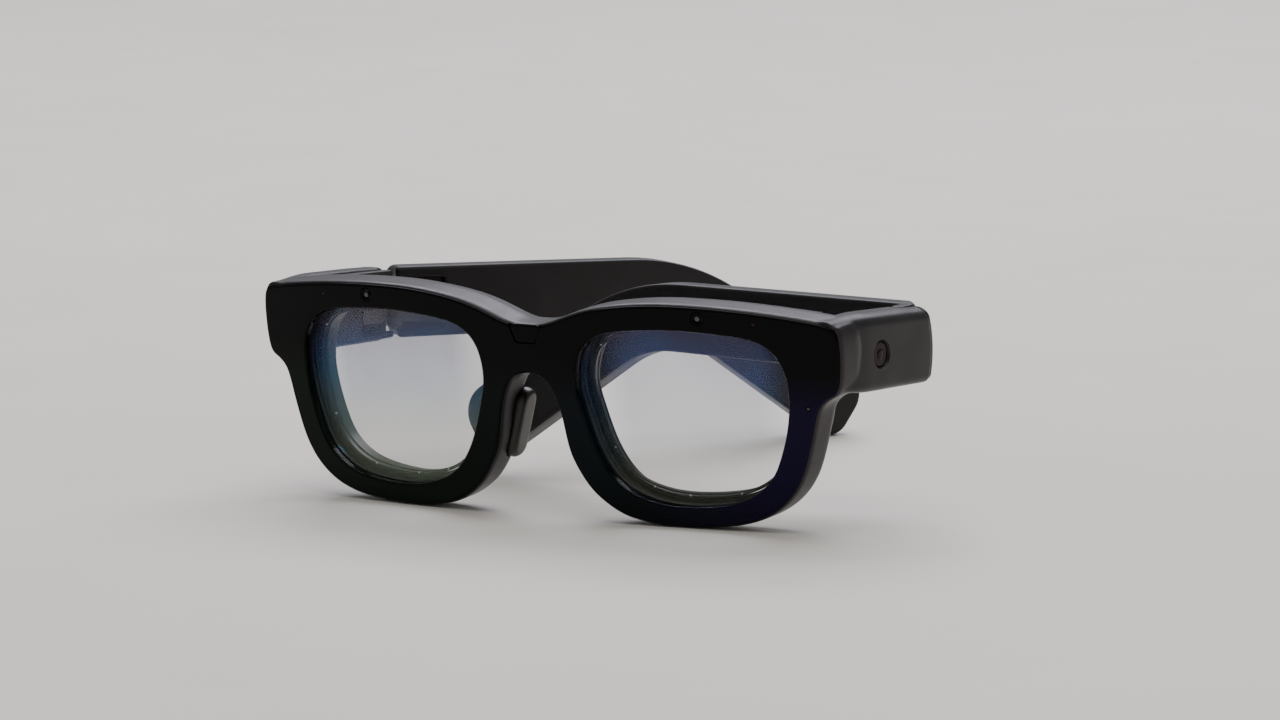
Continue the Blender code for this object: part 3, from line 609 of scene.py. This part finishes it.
def finish_piece(obj, slot, body, *nodes):
    """Give a piece the material of its slot, attach it to its body, and hide the CAD nodes that it stands
    for.
    """
    obj.data.materials.clear()
    obj.data.materials.append(MATERIALS[slot])
    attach(obj, body)
    if nodes:
        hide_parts(*nodes)
    flat = obj.modifiers.new("flat_faces", "WEIGHTED_NORMAL")
    flat.keep_sharp = True
    flat.weight = 80
    return obj


def rod(name, centre, radius, y_low, y_high, sides=40, place=None, edge=0.0):
    """A round body along y, with rounded rims."""
    return slab(name, circle_loop(centre, radius, sides), rounded(y_low, y_high, edge, edge, 3), place=place)


# ---- places ----------------------------------------------------------------------------------
def smoothstep(value, low, high):
    """0 below low and 1 above high, with a soft change between."""
    t = min(1.0, max(0.0, (value - low) / (high - low)))
    return t * t * (3 - 2 * t)


def on_front(x, y, z):
    """A point of the flat front, wrapped round the face, leaned and deepened at the brow."""
    y += BROW_EXTRA_DEPTH * smoothstep(z, 26, 42) * min(1.0, max(0.0, (y - 6.5) / 3.0))
    wrap = x * x / (2 * WRAP_RADIUS)
    return (x, FRONT_Y + wrap + z * math.sin(LEAN) + y * math.cos(LEAN),
            STAND_Z + z * math.cos(LEAN) - y * math.sin(LEAN))


def on_side(side):
    """A point of an end piece: x along Y, y outward from the hinge axis plane, z up."""
    return lambda x, y, z: (side * (HINGE_X + y), FRONT_Y + x, z)


def on_arm(side):
    """A point of a temple: x from the hinge to the tip, y outward, z up, at its rest angle."""
    turn = (Matrix.Rotation(-HINGE_TILT, 3, "X") @ Matrix.Rotation(-side * OPEN_ANGLE[side], 3, "Z"))
    pivot = Vector((side * HINGE_X, FRONT_Y + HINGE_Y, HINGE_Z))

    def place(x, y, z):
        return turn @ Vector((-side * x, y * (1 - 0.0011 * max(x, 0.0)), z)) + pivot
    return place


def name_for(base, side):
    """A name with its side; the wearer's left is +X."""
    return f"{base}_{'left' if side > 0 else 'right'}"


# ---- the front -------------------------------------------------------------------------------
COVER_LOOP = smooth_loop(mirrored_half(COVER_HALF), 0.9)
OPENINGS = {side: smooth_loop([(side * x, z) for x, z in LENS_OPENING], 0.9) for side in (1, -1)}
BACK_HALF = ([p for p in COVER_HALF if p[1] > 40 and p[0] < 62] + [(64.0, 46.9), (66.0, 45.4), (66.0, 29)]
             + [p for p in COVER_HALF if p[1] < 27 or p[0] < 6 and p[1] < 40])
BACK_LOOP = smooth_loop(mirrored_half(BACK_HALF), 1.1)
BOTH = (OPENINGS[1], OPENINGS[-1])


def window_loop():
    """The tapered window at the bridge."""
    return fillet_loop([(-4.1, 42.1, 0.7), (-2.45, 38.1, 1.0), (2.45, 38.1, 1.0), (4.1, 42.1, 0.7)])


def front_cover():
    """The glossy face, set in the frame's lip."""
    turns = [math.pi / 2 * k / 6 for k in range(7)]
    levels = [(0.55 * (1 - math.cos(a)), COVER_INSET - 0.55 * (1 - math.sin(a)), 0.5 * (1 - math.sin(a)))
              for a in turns] + [(1.6, COVER_INSET, 0.0)]
    cover = slab("cover_face", COVER_LOOP, levels, BOTH, 2.2, None, 40)
    holes = [rod("hole", (side * spot[0], spot[1]), radius + 0.06, -1, 3)
             for spot, radius in ((BROW_CAMERA, BROW_CAMERA_R), (IR_LIGHT, IR_LIGHT_R)) for side in (1, -1)]
    holes += [rod("hole", STATUS_LIGHT, 0.5, -1, 3, 24)]
    notch = fillet_loop([(-5.4, 45.0, 0), (-2.55, 38.0, 1.0), (2.55, 38.0, 1.0), (5.4, 45.0, 0)])
    holes += [slab("hole", notch, [(-1, 0), (3, 0)])]
    cut(cover, holes)
    move_points(cover, on_front)
    cover.data.set_sharp_from_angle(angle=math.radians(40))
    finish_piece(cover, "gloss_black", "front", "front_cover")


def front_frame():
    """The satin frame in one moulding: rims, brow, bridge and both end pieces, with a lip round the face."""
    turns = [math.pi / 2 * k / 8 for k in range(9)]
    levels = [(1.5 * (1 - math.cos(a)), -1.5 * (1 - math.sin(a)), 0.9) for a in turns]
    levels += [(5.15, 0.0, 0.9), (5.25, 0.0, -0.9)]
    levels += [(6.2 + 1.8 * math.sin(a), -0.75 * (1 - math.cos(a)), -0.9 + 0.8 * (1 - math.cos(a)))
               for a in turns]
    rim = slab("frame_moulding", COVER_LOOP, levels, BOTH, 2.6, None, 40)
    cut(rim, [slab("channel", smooth_loop(mirrored_half(CHANNEL_HALF), 2.0), [(3.4, 0), (12, 0)])])
    move_points(rim, on_front)
    join(rim, [end_block(side) for side in (1, -1)])
    hollow = fillet_loop([(15.5, 31.1, 0.5), (38.4, 30.1, 0.8), (38.4, 43.7, 0.8), (15.5, 44.8, 0.5)])
    cut(rim, [slab("hollow", hollow, [(0.5, 0), (6.9, 0)], place=on_side(side)) for side in (1, -1)]
        + [pad_pocket(side) for side in (1, -1)])
    grid = rim.modifiers.new("even_grid", "REMESH")
    grid.mode = "VOXEL"
    grid.voxel_size = FRAME_GRID * MM
    soft = rim.modifiers.new("soft_edges", "SMOOTH")
    soft.factor = 0.5
    soft.iterations = 5
    bake(rim)
    cutters = [slab("recess", grown(COVER_LOOP, COVER_INSET + 0.1), [(-1, 0), (1.75, 0)], (), 2.0, on_front),
               pill(0.2, 43.0, 48.0)]
    cutters += [slab("cone", circle_loop((SIDE_CAMERA_Y, SIDE_CAMERA_Z), 2.75, 64),
                     [(6.8, 0), (8.05, 0), (8.75, 0.5), (10, 1.5)], place=on_side(side)) for side in (1, -1)]
    cut(rim, cutters)
    rim.data.set_sharp_from_angle(angle=math.radians(38))
    finish_piece(rim, "satin_charcoal", "front", "front_frame")


def back_plate():
    """The face-side plate, softly rounded towards the face."""
    turns = [math.pi / 2 * k / 6 for k in range(7)]
    levels = [(8.2, -0.95, -0.3)]
    levels += [(8.5 + 1.0 * math.sin(a), -1.0 - 1.0 * (1 - math.cos(a)), -0.3 + 1.3 * (1 - math.cos(a)))
               for a in turns]
    plate = slab("back_plate", BACK_LOOP, levels, BOTH, 3.0, on_front, 40)
    cut(plate, [pad_pocket(side) for side in (1, -1)])
    plate.data.set_sharp_from_angle(angle=math.radians(40))
    finish_piece(plate, "satin_charcoal", "front", "rear_cover")


def lens_parts(side):
    """Outer lens, display waveguide, and the stepped ring with its eye-tracking lights."""
    opening = OPENINGS[side]
    lens = slab(name_for("lens_outer", side), opening, rounded(2.3, 3.5, 0.15, 0.15, 2), (), 2.4, on_front)
    finish_piece(lens, "lens_glass", "front", name_for("outer_lens", side))
    guide = slab(name_for("lens_guide", side), opening, rounded(3.9, 4.7, 0.1, 0.1, 2), (), 2.4, on_front)
    finish_piece(guide, "guide_glass", "front", name_for("waveguide", side))

    def ring_place(x, y, z):
        """The ring is shallow beside the nose and deep towards the end piece."""
        reach = 0.2 + 0.8 * smoothstep(abs(x), 14, 50)
        return on_front(x, 5.0 + (y - 5.0) * reach, z)

    ring = slab(name_for("inner_ring", side), grown(opening, -1.0),
                [(4.95, -0.1, 0.55), (5.1, 0, 0.35), (6.2, 0, 0.3), (6.35, 0, 0.0), (9.0, -0.1, 0.1),
                 (9.2, -0.2, 0.25)], [grown(opening, -1.75)], 0.0, ring_place, 30)
    finish_piece(ring, "inner_black", "front", name_for("light_ring", side))
    path = grown(opening, -1.38)
    middle = path.mean(axis=0)
    for k, degrees in enumerate(EYE_LIGHT_DEGREES):
        angle = math.radians(degrees if side > 0 else 180 - degrees)
        toward = np.array([math.cos(angle), math.sin(angle)])
        offsets = path - middle
        aligned = offsets @ toward / np.linalg.norm(offsets, axis=1)
        spot = path[int(np.argmax(aligned))]
        dot = rod(f"{name_for('eye_light', side)}_{k + 1}", spot, 0.2, 4.88, 5.2, 16, ring_place, 0.06)
        finish_piece(dot, "light_white", "front")


def front_details():
    """Brow cameras, infrared lights, status light and the bridge window."""
    for side in (1, -1):
        spot = (side * BROW_CAMERA[0], BROW_CAMERA[1])
        barrel = slab(name_for("brow_camera_barrel", side), circle_loop(spot, BROW_CAMERA_R),
                      [(0.34, -0.9), (0.06, -0.3), (0.12, -0.08), (0.3, 0), (5.3, 0)], place=on_front)
        finish_piece(barrel, "gloss_black", "front", name_for("brow_camera", side))
        bead = slab(name_for("brow_camera_lens", side), circle_loop(spot, 0.52, 28),
                    [(-0.02, -0.4), (-0.01, -0.25), (0.02, -0.1), (0.08, 0), (0.3, 0)], place=on_front)
        finish_piece(bead, "module_grey", "front")
        lamp_spot = (side * IR_LIGHT[0], IR_LIGHT[1])
        lamp = rod(name_for("infrared_window", side), lamp_spot, IR_LIGHT_R, 0.05, 5.3, 24, on_front, 0.08)
        finish_piece(lamp, "camera_glass", "front", name_for("infrared_light", side))
    status = rod("status_window", STATUS_LIGHT, 0.3, 0.03, 1.5, 24, on_front, 0.1)
    finish_piece(status, "module_grey", "front", "status_light")
    window = slab("bridge_glass", window_loop(), [(0.1, -0.5), (0.14, -0.2), (0.3, 0), (1.6, 0)],
                  place=on_front)
    finish_piece(window, "gloss_black", "front", "bridge_window")


def pad_place(side):
    """A point of a nose pad: x back, y outward from the nose, z up, leaning with the rim's nose wall."""
    tilt = (Matrix.Rotation(side * -PAD_LEAN, 3, "Y") @ Matrix.Rotation(side * -PAD_YAW, 3, "Z"))

    def place(x, y, z):
        spot = tilt @ Vector((side * y, x, z))
        return (side * PAD_CENTRE[0] + spot.x, FRONT_Y + PAD_CENTRE[1] + spot.y, PAD_CENTRE[2] + spot.z)
    return place


def pad_outline():
    """The long rounded outline of a nose pad."""
    return fillet_loop([(-PAD_DEPTH / 2, -PAD_LENGTH / 2, 3.0), (PAD_DEPTH / 2, -PAD_LENGTH / 2, 3.1),
                        (PAD_DEPTH / 2, PAD_LENGTH / 2, 3.0), (-PAD_DEPTH / 2, PAD_LENGTH / 2, 3.1)])


def pad_pocket(side):
    """The pocket in the rim's nose wall that holds a pad and its clip."""
    return slab("pocket", grown(pad_outline(), 0.22), [(-5.0, 0), (PAD_THICK / 2 + 0.9, 0)],
                place=pad_place(side))


def nose_pad(side):
    """A soft pad with a crowned face, let into the rim; its steel clip is a carried-over CAD node."""
    half = PAD_THICK / 2
    turns = [math.pi / 2 * k / 7 for k in range(8)]
    levels = [(-half + 1.5 * (1 - math.cos(a)), -1.5 * (1 - math.sin(a))) for a in turns]
    levels += [(half - 0.4 * (1 - math.cos(a)), -0.4 * (1 - math.sin(a))) for a in reversed(turns)]
    pad = slab(name_for("pad_soft", side), pad_outline(), levels, (), 1.4, pad_place(side), 60)
    finish_piece(pad, "pad_rubber", "front", name_for("nose_pad", side))


# ---- end pieces ------------------------------------------------------------------------------
def block_place(side):
    """A point of an end piece's section (x outward, z up) at a distance y along it."""
    def place(x, y, z):
        top = 46.75 - 0.053 * (y - 8.0)
        bottom = 29.75 - 0.03 * (y - 8.0)
        up = bottom + (z - BLOCK_BOTTOM) / (BLOCK_TOP - BLOCK_BOTTOM) * (top - bottom)
        bow = 0.22 * (1 - ((y - 22) / 20) ** 2) * smoothstep(x, 5.0, 8.0)
        end = 1.5 * ((z - BLOCK_MIDDLE) / 8.2) ** 2 * smoothstep(y, 30, 39)
        return (side * (HINGE_X + x + bow), FRONT_Y + y - end, up)
    return place


def pill(gap, low, high, edge=0.0):
    """The top button's outline, widened by a gap, as a solid from low to high on the left end piece."""
    loop = fillet_loop([(32.4 - gap, 3.0 - gap, 1.22 + gap), (39.0 + gap, 3.0 - gap, 1.22 + gap),
                        (39.0 + gap, 5.6 + gap, 1.22 + gap), (32.4 - gap, 5.6 + gap, 1.22 + gap)])
    return slab("pill", loop, rounded(low, high, 0.0, edge, 4),
                place=lambda x, y, z: (HINGE_X + z, FRONT_Y + x, y))


def end_block(side):
    """The end piece's outer block, before it is fused with the rims."""
    section = fillet_loop([(SHELL_INNER, BLOCK_BOTTOM, 0.8), (BLOCK_OUTER, BLOCK_BOTTOM, 1.5),
                           (BLOCK_OUTER, BLOCK_TOP, 3.0), (SHELL_INNER, BLOCK_TOP, 0.9)])
    stations = [(y, -1.1 * (1 - smoothstep(y, 3.0, 17.0))) for y in (4.0 + 1.5 * k for k in range(24))]
    stations += [(40.6 - 0.5 * (1 - math.sin(a)), -0.5 * (1 - math.cos(a)))
                 for a in (math.pi / 2 * k / 5 for k in range(6))]
    return slab("end_block", section, stations, (), 1.5, block_place(side), 40)


def end_piece(side):
    """The side camera's window and lens, the inner cover and the rear cap."""
    spot = (SIDE_CAMERA_Y, SIDE_CAMERA_Z)
    window = slab(name_for("side_window", side), circle_loop(spot, 2.6),
                  [(7.4, 0), (7.95, 0), (8.1, -0.15), (8.12, -0.5)], place=on_side(side))
    finish_piece(window, "camera_glass", "front", name_for("side_camera_window", side))
    lens = slab(name_for("side_lens", side), circle_loop(spot, 1.2),
                [(8.0, 0), (8.16, 0), (8.24, -0.25), (8.28, -0.6), (8.3, -1.0)], place=on_side(side))
    finish_piece(lens, "camera_glass", "front")
    inner = fillet_loop([(15.9, 30.2, 0.8), (41.2, 29.4, 0.75), (41.2, 30.9, 0.6), (29.3, 30.9, 0.6),
                         (29.3, 42.6, 0.6), (41.2, 42.6, 0.6), (41.2, 44.3, 0.9), (15.9, 45.7, 0.8)])
    cover = slab(name_for("end_cover", side), inner, rounded(COVER_INNER, COVER_OUTER, 0.45, 0.0, 5),
                 place=on_side(side))
    finish_piece(cover, "satin_charcoal", "front", name_for("end_piece_cover", side))
    near, far = SHELL_INNER + 0.3, BLOCK_OUTER - 0.35
    low, high = BLOCK_BOTTOM + 0.5, BLOCK_TOP - 0.1
    cap_section = fillet_loop([(near, low, 0.8), (far, low, 1.2), (far, high, 2.6), (near, high, 0.8)])
    cap = slab(name_for("hinge_cap", side), cap_section, rounded(40.72, 41.8, 0.0, 0.55, 4), (), 1.5,
               block_place(side), 40)
    finish_piece(cap, "inner_black", "front", name_for("rear_cap", side))


def top_button():
    """The top button, a touch proud of the left end piece."""
    button = pill(0.0, 42.9, 45.55, 0.4)
    button.name = "button_cap"
    finish_piece(button, "satin_charcoal", "button", "action_button")


# ---- temples ---------------------------------------------------------------------------------
def lower_edge(x):
    """Height of the arm's lower edge ahead of the ear bend."""
    return -ARM_HEIGHT + 0.026 * x


def upper_edge(x):
    """Height of the arm's upper edge ahead of the ear bend."""
    return 0.011 * x


def temple(side):
    """Outer and inner half of one temple, from the hinge to the tip behind the ear."""
    place = on_arm(side)
    body = name_for("temple", side)
    drop = math.tan(EAR_ANGLE)
    toe = 0.4 + ARM_HEIGHT * math.tan(HINGE_TILT)
    low_bend, high_bend = lower_edge(LOWER_BEND), upper_edge(UPPER_BEND)
    ear = [(LOWER_BEND, low_bend, 22.0),
           (TIP_LOW, low_bend - (TIP_LOW - LOWER_BEND) * drop, 4.6),
           (TIP_HIGH, high_bend - (TIP_HIGH - UPPER_BEND) * drop, 6.4),
           (UPPER_BEND, high_bend, 46.0)]
    whole = fillet_loop([(toe, lower_edge(0), 2.15), *ear, (0.4, upper_edge(0), 2.15)], math.radians(4))
    shell = slab(name_for("arm_outer", side), whole, rounded(SHELL_INNER, BLOCK_OUTER, 0.12, 1.9, 8), (), 3.0,
                 place, 40)
    finish_piece(shell, "satin_charcoal", body, name_for("temple_shell", side))
    notched = fillet_loop([(toe, lower_edge(0), 0.8), *ear, (0.4, upper_edge(0), 0.9), (0.4, -2.5, 0.9),
                           (12.0, -2.5, 0.6), (12.0, -13.9, 0.6), (toe, -13.9, 0.8)], math.radians(4))
    lid = slab(name_for("arm_inner", side), notched, rounded(COVER_INNER, COVER_OUTER, 0.75, 0.1, 6), (), 3.0,
               place, 40)
    finish_piece(lid, "satin_charcoal", body, name_for("temple_cover", side), name_for("ear_piece", side))


# ---- carried-over nodes ----------------------------------------------------------------------
def dress_nodes():
    """Give each remaining CAD node its material, and soften the edges of the steel ones."""
    for row in frame["record"]["subparts"]:
        obj = frame["nodes"][row["node"]]
        if row["node"] in REPLACED:
            continue
        obj.data.materials.clear()
        obj.data.materials.append(MATERIALS[row["material_slot"]])
        if row["material_slot"] == "steel":
            bevel = obj.modifiers.new("soft_edge", "BEVEL")
            bevel.width = STEEL_BEVEL * MM
            bevel.segments = 2
            bevel.limit_method = "ANGLE"
            bevel.angle_limit = math.radians(40)


# ---- setting ---------------------------------------------------------------------------------
def setting():
    """Pale floor and soft studio light."""
    size = 6.0
    corners = [(-size, -size, 0), (size, -size, 0), (size, size, 0), (-size, size, 0)]
    mesh = bpy.data.meshes.new("floor")
    mesh.from_pydata(corners, [], [(0, 1, 2, 3)])
    floor = bpy.data.objects.new("floor", mesh)
    bpy.context.scene.collection.objects.link(floor)
    m = Nodes("pale_floor")
    m.link(m.ramp(m.noise(6.0, 5.0), [(0.3, (0.80, 0.755, 0.685)), (0.7, (0.84, 0.795, 0.725))]),
           m.shader.inputs["Base Color"])
    m.link(m.span(m.noise(40.0, 5.0), 0.3, 0.7, 0.5, 0.6), m.shader.inputs["Roughness"])
    mesh.materials.append(m.mat)

    world = bpy.data.worlds.new("studio")
    world.use_nodes = True
    sky = world.node_tree.nodes["Background"]
    sky.inputs["Color"].default_value = (0.86, 0.88, 0.92, 1.0)
    sky.inputs["Strength"].default_value = 0.36
    bpy.context.scene.world = world

    def soft_light(name, place, target, width, height, watts, colour):
        """A rectangular light aimed at a target, in metres."""
        data = bpy.data.lights.new(name, "AREA")
        data.shape = "RECTANGLE"
        data.size, data.size_y = width, height
        data.energy = watts
        data.color = colour
        light = bpy.data.objects.new(name, data)
        light.location = place
        light.rotation_euler = (Vector(target) - Vector(place)).to_track_quat("-Z", "Y").to_euler()
        bpy.context.scene.collection.objects.link(light)

    soft_light("light_back", (-0.35, 0.95, 1.15), (0, 0, 0), 1.6, 0.9, 23.0, (0.91, 0.91, 1.0))
    soft_light("light_top", (0.1, -0.1, 1.5), (0, 0, 0), 1.2, 1.2, 9.0, (1.0, 0.98, 0.95))
    soft_light("light_side", (1.3, -0.25, 0.55), (0.05, 0, 0.03), 0.7, 0.6, 1.3, (1.0, 0.90, 0.80))


def camera():
    """A long lens at the height and angle of a person looking across the table."""
    cam_data = bpy.data.cameras.new("camera")
    cam = bpy.data.objects.new("camera", cam_data)
    bpy.context.scene.collection.objects.link(cam)
    bpy.context.scene.camera = cam
    a, e, r = VIEW_AZIMUTH, VIEW_ELEVATION, VIEW_ROLL
    right = Vector((math.cos(a), math.sin(a), 0))
    forward = Vector((-math.sin(a) * math.cos(e), math.cos(a) * math.cos(e), -math.sin(e)))
    up = right.cross(forward)
    foot = Vector((0, FRONT_Y, VIEW_FOOT_Z))
    rolled_right = right * math.cos(r) - up * math.sin(r)
    rolled_up = right * math.sin(r) + up * math.cos(r)
    aim = foot + rolled_right * VIEW_ACROSS + rolled_up * VIEW_ABOVE
    turn = Matrix((rolled_right, rolled_up, -forward)).transposed()
    cam.location = (aim - forward * VIEW_DISTANCE) * MM
    cam.rotation_euler = turn.to_euler()
    cam_data.sensor_width = 36.0
    cam_data.lens = VIEW_LENS
    cam_data.clip_start = 0.05


# ---- the build -------------------------------------------------------------------------------
# CAD nodes that a finer piece stands for
REPLACED = {"front_cover", "front_frame", "rear_cover", "status_light", "bridge_window", "action_button"}
for word in ("outer_lens", "waveguide", "light_ring", "brow_camera", "infrared_light", "nose_pad",
             "side_camera_window", "end_piece_cover", "rear_cap", "temple_shell", "temple_cover",
             "ear_piece"):
    REPLACED |= {name_for(word, 1), name_for(word, -1)}

front_cover()
front_frame()
back_plate()
front_details()
top_button()
for wearer_side in (1, -1):
    lens_parts(wearer_side)
    nose_pad(wearer_side)
    end_piece(wearer_side)
    temple(wearer_side)
dress_nodes()
setting()
camera()
